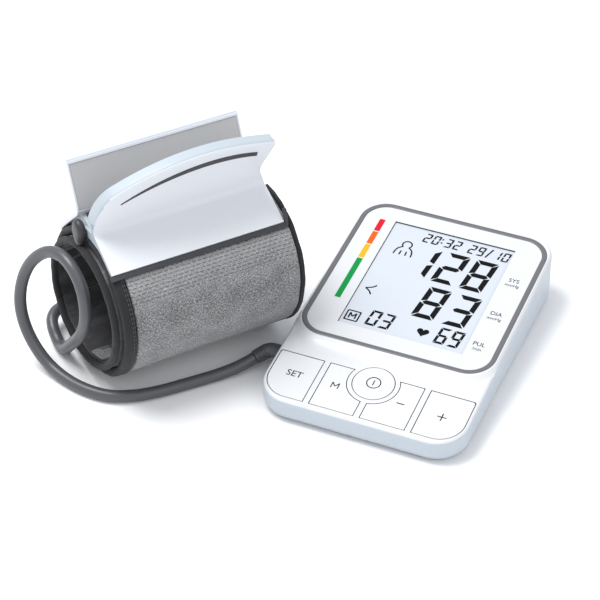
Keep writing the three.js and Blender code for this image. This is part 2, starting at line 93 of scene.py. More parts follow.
def oval(turn, depth=0.0):
    """A point (e, z) of the cuff's oval section, a depth inside its outer face."""
    t = math.radians(turn)
    u = (OVAL["a"] - depth) * math.cos(t)
    v = (OVAL["b"] - depth) * math.sin(t)
    return u * OVAL["ca"] - v * OVAL["sa"], OVAL["z"] + u * OVAL["sa"] + v * OVAL["ca"]


# ---- Camera ----
camera = bpy.data.objects.new("camera", bpy.data.cameras.new("camera"))
bpy.context.collection.objects.link(camera)
camera.data.lens = 123.9
camera.data.sensor_width = 36
camera.location = unit(278.3, -794.9, 699.6)
camera.rotation_euler = (unit(-69.7, 14.5, 0) - camera.location).to_track_quat("-Z", "Y").to_euler()
bpy.context.scene.camera = camera


# ---- Material helpers ----
class Shader:
    """A material with a Principled shader and short ways to add and join nodes."""

    def __init__(self, name, color=(0.8, 0.8, 0.8), rough=0.5, **values):
        self.material = bpy.data.materials.new(name)
        self.material.use_nodes = True
        self.tree = self.material.node_tree
        self.bsdf = self.tree.nodes["Principled BSDF"]
        self.bsdf.inputs["Base Color"].default_value = (*color, 1)
        self.bsdf.inputs["Roughness"].default_value = rough
        for key, value in values.items():
            self.bsdf.inputs[key.replace("_", " ").title().replace("Ior", "IOR")].default_value = value

    def node(self, kind, links=None, **values):
        made = self.tree.nodes.new("ShaderNode" + kind)
        for key, value in values.items():
            if hasattr(made, key):
                setattr(made, key, value)
            else:
                made.inputs[key.replace("_", " ").title()].default_value = value
        for index, source in (links or {}).items():
            self.tree.links.new(source, made.inputs[index])
        return made

    def math(self, operation, a, b=None, c=None):
        made = self.tree.nodes.new("ShaderNodeMath")
        made.operation = operation
        for socket, value in zip(made.inputs, (a, b, c)):
            if value is None:
                continue
            if isinstance(value, (int, float)):
                socket.default_value = value
            else:
                self.tree.links.new(value, socket)
        return made.outputs[0]

    def place(self, uv=False, scale=(1, 1, 1)):
        source = self.node("TexCoord").outputs["UV" if uv else "Object"]
        return self.node("Mapping", {0: source}, scale=scale).outputs[0] if scale != (1, 1, 1) else source

    def noise(self, scale, detail=2, place=None, rough=0.5):
        source = self.place() if place is None else place
        made = self.node("TexNoise", {0: source}, scale=scale, detail=detail)
        made.inputs["Roughness"].default_value = rough
        return made.outputs[0]

    def ramp(self, source, stops):
        made = self.node("ValToRGB", {0: source})
        ramp = made.color_ramp
        while len(ramp.elements) < len(stops):
            ramp.elements.new(0.5)
        for element, (at, color) in zip(ramp.elements, stops):
            element.position = at
            element.color = (*color, 1) if len(color) == 3 else color
        return made.outputs[0]

    def spread(self, source, lowest, highest, from_low=0.0, from_high=1.0):
        made = self.node("MapRange", {0: source})
        for index, value in ((1, from_low), (2, from_high), (3, lowest), (4, highest)):
            made.inputs[index].default_value = value
        return made.outputs[0]

    def mix(self, factor, a, b, kind="MIX"):
        made = self.tree.nodes.new("ShaderNodeMix")
        made.data_type = "RGBA"
        made.blend_type = kind
        for socket, value in ((made.inputs[0], factor), (made.inputs[6], a), (made.inputs[7], b)):
            if isinstance(value, tuple):
                socket.default_value = (*value, 1)
            elif isinstance(value, (int, float)):
                socket.default_value = value
            else:
                self.tree.links.new(value, socket)
        return made.outputs[2]

    def wave(self, source, pitch):
        return self.math("SINE", self.math("MULTIPLY", source, 2 * math.pi / pitch))

    def color(self, source):
        self.tree.links.new(source, self.bsdf.inputs["Base Color"])
        return self

    def rough(self, source):
        self.tree.links.new(source, self.bsdf.inputs["Roughness"])
        return self

    def bump(self, source, strength, distance):
        made = self.node("Bump", {"Height": source}, strength=strength, distance=distance)
        self.tree.links.new(made.outputs[0], self.bsdf.inputs["Normal"])
        return self


def plastic(name, color, rough, grain=0.05, coat=0.0, tint=0.02, **values):
    """Moulded plastic: fine spark-erosion grain, faint colour drift and uneven gloss."""
    made = Shader(name, color, rough, **values)
    made.bsdf.inputs["Coat Weight"].default_value = coat
    made.bsdf.inputs["Coat Roughness"].default_value = 0.08
    drift = made.noise(28, 3)
    darker = tuple(c * (1 - tint) for c in color)
    made.color(made.mix(drift, darker, color))
    made.rough(made.spread(made.noise(160, 3), rough - 0.04, rough + 0.04, 0.3, 0.7))
    if grain:
        made.bump(made.noise(5200, 2), grain, 0.00005)
    return made.material


def metal(name, color, rough):
    made = Shader(name, color, rough, metallic=1.0)
    streaks = made.noise(90, 4, made.place(scale=(1, 14, 14)))
    made.rough(made.spread(streaks, rough - 0.08, rough + 0.1, 0.3, 0.7))
    made.bump(streaks, 0.08, 0.00004)
    return made.material


def heather_fabric():
    """Grey melange weave: light and dark fibres both ways, soft clouds, stitched ribs under the clip."""
    made = Shader("heather_fabric", (0.3, 0.3, 0.3), 0.92)
    made.bsdf.inputs["Sheen Weight"].default_value = 0.25
    made.bsdf.inputs["Sheen Roughness"].default_value = 0.5
    across = made.noise(1.0, 3, made.place(True, (800, 2300, 1)), 0.7)
    along = made.noise(1.0, 3, made.place(True, (2000, 900, 1)), 0.7)
    clouds = made.noise(1.0, 3, made.place(True, (90, 130, 1)))
    fibres = made.math("ADD", made.math("MULTIPLY", across, 0.55), made.math("MULTIPLY", along, 0.45))
    fibres = made.math("ADD", fibres, made.spread(clouds, -0.02, 0.02, 0.3, 0.7))
    yarn = made.ramp(fibres, [
        (0.36, (0.02, 0.02, 0.022)), (0.46, (0.10, 0.10, 0.103)),
        (0.54, (0.27, 0.27, 0.273)), (0.66, (0.56, 0.56, 0.56)),
    ])
    split = made.node("SeparateXYZ", {0: made.place(True)})
    along_s, around = split.outputs[0], split.outputs[1]
    row = made.math("MULTIPLY", around, 1 / 0.0019)
    in_row = made.math("LESS_THAN", made.math("FRACT", row), 0.28)
    dash = made.math("FRACT", made.math("ADD", made.math("MULTIPLY", along_s, 1 / 0.0031),
                                        made.math("MULTIPLY", made.math("FLOOR", row), 0.41)))
    stitch = made.math("MULTIPLY", in_row, made.math("LESS_THAN", dash, 0.72))
    near_clip = made.math("MULTIPLY", made.math("GREATER_THAN", around, 0.0006),
                          made.math("LESS_THAN", around, 0.0150))
    stitch = made.math("MULTIPLY", stitch, near_clip)
    fade = made.spread(around, 0.4, 0.0, 0.0006, 0.0220)
    fade = made.math("MULTIPLY", fade, made.math("GREATER_THAN", around, 0.0006))
    pale = made.mix(fade, yarn, (0.52, 0.52, 0.52))
    made.color(made.mix(made.math("MULTIPLY", stitch, 0.6), pale, (0.04, 0.04, 0.043)))
    weave = made.math("MULTIPLY", made.wave(along_s, 0.0011), made.wave(around, 0.0011))
    height = made.math("ADD", made.math("MULTIPLY", weave, 0.35), fibres)
    height = made.math("SUBTRACT", height, made.math("MULTIPLY", stitch, 0.9))
    made.bump(height, 0.55, 0.0003)
    return made.material


def woven_tape(name, dark, light, pitch=0.0009):
    """Narrow dark woven tape with a rib across it."""
    made = Shader(name, dark, 0.85)
    made.bsdf.inputs["Sheen Weight"].default_value = 0.06
    split = made.node("SeparateXYZ", {0: made.place(True)})
    rib = made.wave(split.outputs[1], pitch)
    weave = made.math("MULTIPLY", rib, made.wave(split.outputs[0], pitch * 0.8))
    fuzz = made.noise(1900, 3)
    mottle = made.math("ADD", made.math("MULTIPLY", weave, 0.3), fuzz)
    made.color(made.mix(made.spread(mottle, 0, 1, 0.2, 0.9), dark, light))
    made.bump(made.math("ADD", made.math("MULTIPLY", weave, 0.6), fuzz), 0.5, 0.0002)
    return made.material


def coated_nylon():
    """Black coated cloth: fine plain weave, soft creases with painted sheen on their crests, and a low sheen.
    """
    made = Shader("coated_nylon", (0.02, 0.02, 0.022), 0.42)
    made.bsdf.inputs["Sheen Weight"].default_value = 0.35
    made.bsdf.inputs["Sheen Roughness"].default_value = 0.35
    made.bsdf.inputs["Specular IOR Level"].default_value = 0.6
    split = made.node("SeparateXYZ", {0: made.place(True)})
    weave = made.math("MULTIPLY", made.wave(split.outputs[0], 0.0007), made.wave(split.outputs[1], 0.0007))
    wrinkles_and_sheen = made.noise(1.0, 4, made.place(True, (26, 60, 1)), 0.6)
    # Painted sheen: the crests of the creases are painted lighter grey, standing in for gloss highlights
    # along the folds.
    made.color(made.ramp(wrinkles_and_sheen, [(0.3, (0.02, 0.02, 0.022)), (0.55, (0.05, 0.05, 0.053)),
                                    (0.75, (0.12, 0.12, 0.125))]))
    made.rough(made.spread(wrinkles_and_sheen, 0.5, 0.32, 0.3, 0.7))
    made.bump(made.math("ADD", made.math("MULTIPLY", weave, 0.05), made.math("MULTIPLY", wrinkles_and_sheen, 2.2)),
              0.6, 0.0011)
    return made.material


WHITE = plastic("shell_white", (0.675, 0.685, 0.70), 0.36, 0.04, coat=0.12, tint=0.012)
# Painted shade: the shell's white plastic, made darker and bluer for the outer walls and the lower shell.
WALL_SHADE_WHITE = plastic("shell_white_wall", (0.50, 0.55, 0.605), 0.42, 0.06, tint=0.02)
# Painted shade: near-black for the key wells' walls and floors, standing in for the shadow in the gaps round
# the keys.
GAP_SHADE = plastic("key_gap_grey", (0.05, 0.053, 0.06), 0.6, 0.0)
KEY_WHITE = plastic("key_white", (0.69, 0.70, 0.715), 0.33, 0.05, coat=0.1, tint=0.01)
LEVER_WHITE = plastic("lever_white", (0.72, 0.735, 0.775), 0.34, 0.04, coat=0.15, tint=0.012)
# Painted shade: the lever's white plastic, made darker and bluer for its lip, left edge, top faces and webs.
LEVER_EDGE_SHADE = plastic("lever_edge", (0.43, 0.485, 0.53), 0.45, 0.04, coat=0.0, tint=0.02)
PRINT_WHITE = plastic("display_surround", (0.67, 0.68, 0.70), 0.16, 0.0, coat=0.8, tint=0.005)
LCD_BLUE = plastic("display_field", (0.57, 0.61, 0.665), 0.18, 0.0, coat=0.6, tint=0.03)
RING_GREY = plastic("ring_grey", (0.135, 0.135, 0.145), 0.34, 0.1, coat=0.1, tint=0.12)
SEGMENT = plastic("segment_black", (0.006, 0.006, 0.007), 0.8, 0.0, specular_ior_level=0.1)
# Painted shade: near-black for the walls of the display window's cut, standing in for the shadow in the
# recess.
WINDOW_WALL_SHADE = plastic("window_edge", (0.06, 0.07, 0.08), 0.5, 0.0)
PRINT_GREY = plastic("print_grey", (0.03, 0.031, 0.035), 0.7, 0.0, specular_ior_level=0.15)
BAR_RED = plastic("bar_red", (0.62, 0.008, 0.02), 0.7, 0.0, specular_ior_level=0.15)
BAR_ORANGE = plastic("bar_orange", (0.76, 0.11, 0.005), 0.7, 0.0, specular_ior_level=0.15)
BAR_YELLOW = plastic("bar_yellow", (0.80, 0.40, 0.015), 0.7, 0.0, specular_ior_level=0.15)
BAR_GREEN = plastic("bar_green", (0.002, 0.26, 0.055), 0.7, 0.0, specular_ior_level=0.15)
PANEL_GREY = plastic("panel_grey", (0.46, 0.46, 0.462), 0.55, 0.25, tint=0.06)
TRIM_DARK = plastic("trim_dark", (0.035, 0.036, 0.040), 0.42, 0.12, tint=0.15)
HOSE_GREY = plastic("hose_grey", (0.085, 0.087, 0.095), 0.36, 0.12, tint=0.1)
RUBBER = plastic("rubber_dark", (0.04, 0.04, 0.045), 0.75, 0.3, tint=0.2)
PART_BLACK = plastic("part_black", (0.02, 0.02, 0.022), 0.5, 0.2, tint=0.2)
SWITCH_GREY = plastic("switch_grey", (0.06, 0.06, 0.065), 0.45, 0.1, tint=0.1)
TUBE_CLEAR = plastic("tube_clear", (0.55, 0.58, 0.60), 0.3, 0.05, coat=0.3)
BOARD = plastic("board_green", (0.012, 0.09, 0.035), 0.38, 0.2, coat=0.2, tint=0.3)
CELL_WRAP = plastic("cell_wrap", (0.17, 0.19, 0.22), 0.3, 0.0, coat=0.4, tint=0.1, metallic=0.6)
STEEL = metal("steel", (0.55, 0.56, 0.58), 0.32)
CONTACT = metal("contact_metal", (0.62, 0.62, 0.60), 0.25)
MOTOR = metal("motor_can", (0.5, 0.5, 0.52), 0.3)
HEATHER = heather_fabric()
TAPE = woven_tape("binding_tape", (0.005, 0.005, 0.006), (0.022, 0.022, 0.024))
NYLON = coated_nylon()


# ---- Geometry helpers ----
def build(name, verts, faces, material, uvs=None, flat=False, sharp=35):
    mesh = bpy.data.meshes.new(name)
    mesh.from_pydata([tuple(v) for v in verts], [], faces)
    if uvs is not None:
        layer = mesh.uv_layers.new(name="UVMap")
        for loop in mesh.loops:
            layer.data[loop.index].uv = uvs[loop.vertex_index]
    mesh.materials.append(material)
    made = bpy.data.objects.new(name, mesh)
    bpy.context.collection.objects.link(made)
    work = bmesh.new()
    work.from_mesh(mesh)
    bmesh.ops.recalc_face_normals(work, faces=work.faces)
    work.to_mesh(mesh)
    work.free()
    if not flat:
        smooth(made, sharp)
    return made


def smooth(piece, sharp=35):
    piece.data.shade_smooth()
    piece.data.set_sharp_from_angle(angle=math.radians(sharp))


def applied(piece, kind, **settings):
    modifier = piece.modifiers.new(kind.lower(), kind)
    for key, value in settings.items():
        setattr(modifier, key, value)
    graph = bpy.context.evaluated_depsgraph_get()
    data = bpy.data.meshes.new_from_object(piece.evaluated_get(graph))
    piece.modifiers.clear()
    piece.data = data
    return piece


def cut(piece, other, operation="DIFFERENCE"):
    applied(piece, "BOOLEAN", object=other, operation=operation, solver="EXACT")
    bpy.data.objects.remove(other)
    return piece


def softened(piece, width, sharp=30, segments=3):
    """Rounds the sharp edges of a cut body, and evens the shading of its flat faces."""
    applied(piece, "BEVEL", width=width * MM, segments=segments, limit_method="ANGLE",
            angle_limit=math.radians(sharp), harden_normals=False, use_clamp_overlap=True)
    smooth(piece, 40)
    applied(piece, "WEIGHTED_NORMAL", keep_sharp=True, weight=80)
    return piece


def put(piece, body, slot_name, *nodes):
    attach(piece, body)
    if nodes:
        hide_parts(*nodes)
    return piece


def rings_to_mesh(rings, close=True):
    """Vertices and faces of a body through rings of equal length, capped at both ends."""
    count = len(rings[0])
    verts = [p for ring in rings for p in ring]
    faces = []
    for k in range(len(rings) - 1):
        for i in range(count):
            j = (i + 1) % count
            faces.append((k * count + i, k * count + j, (k + 1) * count + j, (k + 1) * count + i))
    if close:
        faces.append(tuple(range(count))[::-1])
        faces.append(tuple((len(rings) - 1) * count + i for i in range(count)))
    return verts, faces


def outline(hw, front, back, front_r, back_r, steps=14):
    corners = [
        (hw - back_r, back - back_r, back_r, 0), (-hw + back_r, back - back_r, back_r, 90),
        (-hw + front_r, front + front_r, front_r, 180), (hw - front_r, front + front_r, front_r, 270),
    ]
    points = []
    for x, y, r, start in corners:
        for i in range(steps + 1):
            turn = math.radians(start + 90 * i / steps)
            points.append((x + r * math.cos(turn), y + r * math.sin(turn)))
    return points


def key_plane(y):
    return 14.25 + 0.12 * (y + BACK)


def lcd_plane(y):
    return 17.6 + 0.095 * (y + BACK)


def table_plane(y):
    return 0 * y


def level(points, height, plane):
    return [unit(x, y, plane(y) + height) for x, y in points]


def at_height(points, z):
    return [unit(x, y, z) for x, y in points]


def prism(name, points, bottom, top, plane, material=None):
    verts, faces = rings_to_mesh([level(points, bottom, plane), level(points, top, plane)])
    return build(name, verts, faces, material or WHITE, flat=True)


def rectangle(x0, x1, y0, y1):
    return [(x1, y1), (x0, y1), (x0, y0), (x1, y0)]


def shell_plan(inset, front=-BACK, back=BACK):
    return outline(HALF_WIDTH - inset, front + inset, back - inset, CORNER - inset, CORNER - inset)


def ring_plan(inset, steps=14):
    r = RING["r"] - inset
    return outline(RING["hw"] - inset, RING["front"] + inset, RING["back"] - inset, r, r, steps)


def circle(x, y, r, steps=64):
    return [(x + r * math.cos(2 * math.pi * i / steps), y + r * math.sin(2 * math.pi * i / steps))
            for i in range(steps)]


def rod(name, start, end, r, steps=32, material=None):
    """Round body between two points, its radius in millimetres."""
    axis = end - start
    turn = axis.to_track_quat("Z", "Y").to_matrix()
    rings = [[p + turn @ Vector((r * MM * math.cos(2 * math.pi * i / steps),
                                 r * MM * math.sin(2 * math.pi * i / steps), 0)) for i in range(steps)]
             for p in (start, end)]
    verts, faces = rings_to_mesh(rings)
    return build(name, verts, faces, material or WHITE, flat=True)


# ---- Unit: shells ----
def bezier(points, count):
    """Points of a cubic curve given by its four control points."""
    (ax, ay), (bx, by), (cx, cy), (dx, dy) = points
    result = []
    for i in range(count + 1):
        t = i / count
        q = 1 - t
        result.append((q ** 3 * ax + 3 * q * q * t * bx + 3 * q * t * t * cx + t ** 3 * dx,
                       q ** 3 * ay + 3 * q * q * t * by + 3 * q * t * t * cy + t ** 3 * dy))
    return result


def display_block():
    """Wedge with a soft shoulder, and a hollow sweep down to the keypad in front."""
    rings = [at_height(shell_plan(0, STEP_Y), SEAM_Z)]
    sweep = bezier([(0, -2.42), (3.6, -2.2), (5.6, -1.6), (7.2, -0.7)], 8)
    shoulder = bezier([(7.2, -0.7), (7.7, -0.35), (8.2, 0), (8.8, 0)], 5)[1:]
    for move, height in sweep + shoulder:
        rise = max(0.0, (height + 1.9) / 1.9)
        side = 0.15 + 1.25 * rise ** 2 if height > -1.9 else 0.08 * (height + 2.42)
        plan = outline(HALF_WIDTH - side, STEP_Y + move, BACK - 1.35 * side, CORNER - side, CORNER - side)
        rings.append(level(plan, height, lcd_plane))
    verts, faces = rings_to_mesh(rings)
    return build("top_housing_shell", verts, faces, WHITE, flat=True)


def keypad_block():
    rings = [at_height(outline(HALF_WIDTH, -BACK, KEYPAD_BACK, CORNER, 0.5), SEAM_Z)]
    for side, height in bezier([(0, -2.2), (0, -1.0), (0.5, 0), (1.9, 0)], 8):
        plan = outline(HALF_WIDTH - side, -BACK + side, KEYPAD_BACK, CORNER - side, 0.5)
        rings.append(level(plan, height, key_plane))
    verts, faces = rings_to_mesh(rings)
    return build("keypad_block", verts, faces, WHITE, flat=True)


def key_shape(name, x0, x1, grow, bottom, top):
    """One key's column of the keypad's rounded row, clear of the round start key, grown on every side."""
    plan = outline(KEY_ROW["hw"] + grow, KEY_ROW["front"] - grow, KEY_ROW["back"] + grow,
                   KEY_ROW["corner"] + grow, KEY_ROW["inner_corner"])
    row = prism(name, plan, bottom, top, key_plane)
    column = prism("column", rectangle(x0 - grow, x1 + grow, -90, -30), bottom - 1, top + 1, key_plane)
    cut(row, column, "INTERSECT")
    clearing = circle(0, START_Y, START_CLEARING - grow, 96)
    return cut(row, prism("well", clearing, bottom - 1, top + 1, key_plane))


def in_keypad(x, y):
    """Whether a place lies within the keypad's edge, away from the housing's outer walls."""
    straight = abs(x) < HALF_WIDTH - 1.4 and -78.2 < y < STEP_Y + 0.2
    turn_x, turn_y = HALF_WIDTH - CORNER, CORNER - BACK
    in_corner = abs(x) >= turn_x and y <= turn_y
    return straight and (not in_corner or math.hypot(abs(x) - turn_x, y - turn_y) < 15.6)


def paint_shell(shell):
    """Gives the key wells' walls and floors a near-black as painted shade in the gaps, and the outer walls a
    darker blue-grey white as painted shade.
    """
    shell.data.materials.append(WALL_SHADE_WHITE)
    shell.data.materials.append(GAP_SHADE)
    for face in shell.data.polygons:
        x = (face.center.x - UNIT[0]) / MM
        y = (face.center.y - UNIT[1]) / MM
        steep = abs(face.normal.z)
        if in_keypad(x, y):
            # Well walls and floors get the near-black: painted shade in the key gaps.
            if steep < 0.6 or face.center.z / MM < key_plane(y) - 1:
                face.material_index = 2
        # Steep outer walls get the darker blue-grey white: painted shade.
        elif steep < 0.45:
            face.material_index = 1


def top_housing():
    shell = cut(display_block(), keypad_block(), "UNION")
    hollow_rings = [at_height(shell_plan(2.2), z) for z in (3.0, 11.0)]
    verts, faces = rings_to_mesh(hollow_rings)
    cut(shell, build("hollow", verts, faces, WHITE, flat=True))
    for _, x0, x1 in KEY_COLUMNS:
        cut(shell, key_shape("key_well", x0, x1, 0.05, -WELL_DEPTH, 3))
    cut(shell, prism("start_well", circle(0, START_Y, START_WELL, 96), -WELL_DEPTH, 4, key_plane))
    cut(shell, prism("display_well", ring_plan(0), -1.5, 3, lcd_plane))
    cut(shell, prism("lcd_well", rectangle(-34, 36, -21, 63.7), -7, 0, lcd_plane))
    cut(shell, rod("socket_hole", unit(-60, *SOCKET), unit(-48, *SOCKET), 4.1))
    softened(shell, 0.22)
    paint_shell(shell)
    return shell


def bottom_housing():
    profile = ((4.4, 1.2), (2.9, 1.35), (1.7, 2.2), (1.0, 3.4), (0.75, 4.2), (0.7, 4.75))
    rings = [at_height(shell_plan(inset), z) for inset, z in profile]
    verts, faces = rings_to_mesh(rings)
    # The lower shell is painted in the darker blue-grey white: painted shade.
    tray = build("bottom_housing_shell", verts, faces, WALL_SHADE_WHITE, flat=True)
    cut(tray, prism("door_well", rectangle(-30.4, 30.4, 22.2, 90), 0, 3.3, table_plane))
    for x, y in SCREWS:
        cut(tray, prism("screw_well", circle(x, y, 2.9, 32), 0, 3.6, table_plane))
    return softened(tray, 0.25)


def battery_door():
    plan = rectangle(-30.1, 30.1, 22.5, 77.8)
    # The battery door is painted in the darker blue-grey white: painted shade.
    door = prism("battery_door_cover", plan, 1.25, 3.1, table_plane, WALL_SHADE_WHITE)
    for i in range(5):
        rib = rectangle(-9 + i * 0.8, 9 - i * 0.8, 62 + 2.2 * i, 63.1 + 2.2 * i)
        cut(door, prism("rib", rib, 0.9, 1.75, table_plane), "UNION")
    return softened(door, 0.3)


put(top_housing(), "base", "shell_white", "top_housing")
put(bottom_housing(), "base", "shell_white", "bottom_housing")
put(battery_door(), "battery_cover", "shell_white", "battery_door")


# ---- Unit: keys ----
def key_cap(name, x0, x1):
    cap = key_shape(f"{name}_key_cap", x0, x1, -0.38, -CAP_DEPTH, 0.12)
    softened(cap, 0.28)
    cap.data.materials.clear()
    cap.data.materials.append(KEY_WHITE)
    return cap


for key, x0, x1 in KEY_COLUMNS:
    put(key_cap(key, x0, x1), f"{key}_key", "key_white", f"{key}_button")
start_plan = circle(0, START_Y, START_WELL - 0.4, 96)
start_cap = prism("start_key_cap", start_plan, -CAP_DEPTH, 0.35, key_plane, KEY_WHITE)
put(softened(start_cap, 0.45), "start_stop_key", "key_white", "start_stop_button")


# ---- Printing ----
def flat_marks(name, shapes, plane, lift, material, body):
    """Thin printed or liquid-crystal shapes that lie on a sloping plane."""
    verts = []
    faces = []
    for shape in shapes:
        start = len(verts)
        verts += [unit(x, y, plane(y) + lift) for x, y in shape]
        faces.append(tuple(range(start, start + len(shape))))
    made = build(name, verts, faces, material, flat=True)
    applied(made, "SOLIDIFY", thickness=0.04 * MM, offset=1)
    put(made, body, "lcd" if plane is lcd_plane else "ring_grey")
    return made


def lettering(name, text, size, x, y, plane, lift, material, body, align="CENTER", spacing=1.0):
    curve = bpy.data.curves.new(name, "FONT")
    curve.body = text
    curve.size = size
    curve.align_x = align
    curve.align_y = "CENTER"
    curve.space_character = spacing
    curve.extrude = 0.02
    curve.offset = 0.006 * size
    curve.resolution_u = 4
    holder = bpy.data.objects.new(name, curve)
    bpy.context.collection.objects.link(holder)
    graph = bpy.context.evaluated_depsgraph_get()
    mesh = bpy.data.meshes.new_from_object(holder.evaluated_get(graph))
    bpy.data.objects.remove(holder)
    for v in mesh.vertices:
        v.co = unit(x + v.co.x, y + v.co.y, plane(y + v.co.y) + lift + v.co.z)
    mesh.materials.clear()
    mesh.materials.append(material)
    made = bpy.data.objects.new(name, mesh)
    bpy.context.collection.objects.link(made)
    put(made, body, "ring_grey")
    return made


def bar(x0, x1, y0, y1):
    return rectangle(min(x0, x1), max(x0, x1), min(y0, y1), max(y0, y1))


def ring_pieces(x, y, outer, inner, start, end, steps=28):
    pieces = []
    for i in range(steps):
        a = math.radians(start + (end - start) * i / steps)
        b = math.radians(start + (end - start) * (i + 1) / steps)
        pieces.append([(x + outer * math.cos(a), y + outer * math.sin(a)),
                       (x + outer * math.cos(b), y + outer * math.sin(b)),
                       (x + inner * math.cos(b), y + inner * math.sin(b)),
                       (x + inner * math.cos(a), y + inner * math.sin(a))])
    return pieces


def stroke(points, width):
    """Marks that follow a line of points at an even width."""
    shapes = []
    for (x0, y0), (x1, y1) in zip(points, points[1:]):
        length = math.hypot(x1 - x0, y1 - y0)
        nx, ny = -(y1 - y0) / length * width / 2, (x1 - x0) / length * width / 2
        shapes.append([(x0 + nx, y0 + ny), (x0 - nx, y0 - ny), (x1 - nx, y1 - ny), (x1 + nx, y1 + ny)])
    return shapes


def letter_m(x, y, w, h, width):
    return stroke([(x - w, y - h), (x - w, y + h), (x, y - h * 0.3), (x + w, y + h), (x + w, y - h)], width)


KEY_LIFT = 0.14
lettering("set_mark", "SET", 5.6, -40.1, -61.4, key_plane, KEY_LIFT, PRINT_GREY, "set_key")
flat_marks("memory_mark", letter_m(-17.7, -61.5, 1.8, 1.9, 0.62), key_plane, KEY_LIFT, PRINT_GREY,
           "memory_key")
flat_marks("minus_mark", [bar(15.6, 19.8, -61.95, -61.3)], key_plane, KEY_LIFT, PRINT_GREY, "minus_key")
flat_marks("plus_mark", [bar(37.7, 42.7, -63.1, -62.45), bar(39.88, 40.53, -65.3, -60.3)], key_plane,
           KEY_LIFT, PRINT_GREY, "plus_key")
flat_marks("start_mark", ring_pieces(0, -53.3, 3.9, 3.3, 0, 360) + [bar(-0.3, 0.3, -55.1, -51.5)], key_plane,
           0.37, PRINT_GREY, "start_stop_key")

# ---- Unit: display ----
def display_ring():
    def loop(inset, height):
        return level(ring_plan(inset, 20), height, lcd_plane)
    section = [(0.05, -1.3), (0.05, -0.05), (0.2, 0.12), (0.5, 0.2), (1.4, 0.24), (2.3, 0.2), (2.6, 0.1),
               (2.75, -0.1), (2.75, -1.3)]
    rings = [loop(inset, height) for inset, height in section]
    verts, faces = rings_to_mesh(rings + [rings[0]], close=False)
    return build("display_ring_trim", verts, faces, RING_GREY, sharp=60)


def display_surround():
    plan = ring_plan(RING["width"] + 0.05, 20)
    plate = prism("display_surround_plate", plan, -1.35, -0.12, lcd_plane, PRINT_WHITE)
    plate.data.materials.append(WINDOW_WALL_SHADE)
    window = prism("window", rectangle(-33.4, 35.4, -20.6, 62.9), -3, 1, lcd_plane, WINDOW_WALL_SHADE)
    cut(plate, window)
    # The window cut's walls get the near-black: painted shade.
    for face in plate.data.polygons:
        middle = face.center
        inside = abs(middle.x - UNIT[0]) < 0.0362 and -0.0212 < middle.y - UNIT[1] < 0.0635
        if inside and abs(face.normal.z) < 0.5:
            face.material_index = 1
    return plate


put(display_ring(), "base", "ring_grey", "display_ring")
put(display_surround(), "base", "lens", "display_lens")
put(prism("display_field_panel", rectangle(-33.3, 35.3, -20.5, 62.8), -5.9, -0.95, lcd_plane, LCD_BLUE),
    "base", "lcd", "lcd_module")

SEGMENTS = {
    "0": "abcdef", "1": "bc", "2": "abged", "3": "abgcd", "6": "afgedc", "8": "abcdefg", "9": "abcdfg",
}


def digit(char, x, y, w, h, t, slant):
    """Seven-segment figure with its lower left corner at (x, y)."""
    gap = t * 0.14
    half = h / 2
    chamfer = t * 0.85
    parts = {
        "a": [(gap, h), (w - gap, h), (w - gap - chamfer, h - t), (gap + chamfer, h - t)],
        "d": [(gap, 0), (gap + chamfer, t), (w - gap - chamfer, t), (w - gap, 0)],
        "g": [(gap * 3, half), (t * 0.9, half + t / 2), (w - t * 0.9, half + t / 2), (w - gap * 3, half),
              (w - t * 0.9, half - t / 2), (t * 0.9, half - t / 2)],
        "f": [(0, h - gap * 2), (t, h - gap * 2 - chamfer), (t, half + t * 0.62), (0, half + gap)],
        "b": [(w, h - gap * 2), (w, half + gap), (w - t, half + t * 0.62), (w - t, h - gap * 2 - chamfer)],
        "e": [(0, half - gap), (t, half - t * 0.62), (t, gap * 2 + chamfer), (0, gap * 2)],
        "c": [(w, half - gap), (w, gap * 2), (w - t, gap * 2 + chamfer), (w - t, half - t * 0.62)],
    }
    return [[(x + px + slant * py / h, y + py) for px, py in parts[name]] for name in SEGMENTS[char]]


def figures(text, x, y, w, h, t, pitch, slant):
    shapes = []
    for char in text:
        if char in SEGMENTS:
            shapes += digit(char, x, y, w, h, t, slant)
            x += pitch
        elif char == ":":
            for rise in (0.3, 0.68):
                shapes.append(bar(x + 0.1, x + 0.1 + t, y + h * rise, y + h * rise + t))
            x += pitch * 0.42
        elif char == "/":
            shapes.append([(x + 0.2, y), (x + 0.2 + t, y), (x + 2.6 + t, y + h), (x + 2.6, y + h)])
            x += pitch * 0.82
    return shapes


def heart(x, y, size):
    points = []
    for i in range(40):
        t = 2 * math.pi * i / 40
        points.append((x + size * 16 * math.sin(t) ** 3 / 32,
                       y + size * (13 * math.cos(t) - 5 * math.cos(2 * t) - 2 * math.cos(3 * t)
                                   - math.cos(4 * t)) / 32))
    return points


LCD_LIFT = -0.9
PERSON_X = -20.9
marks = figures("128", -15.9, 26.1, 12.4, 24.2, 3.0, 16.0, 2.4)
marks += figures("83", -0.1, -2.3, 12.4, 24.0, 3.0, 16.9, 2.4)
marks += figures("69", 17.6, -17.0, 5.9, 12.1, 1.5, 7.4, 1.2)
marks += figures("03", -20.3, -16.9, 5.9, 11.4, 1.4, 7.2, 1.2)
marks += figures("20:32", -14.8, 53.3, 3.8, 7.2, 0.95, 5.0, 0.9)
marks += figures("29/10", 10.8, 53.3, 3.8, 7.2, 0.95, 5.0, 0.9)
marks.append(heart(10.6, -11.9, 6.6))


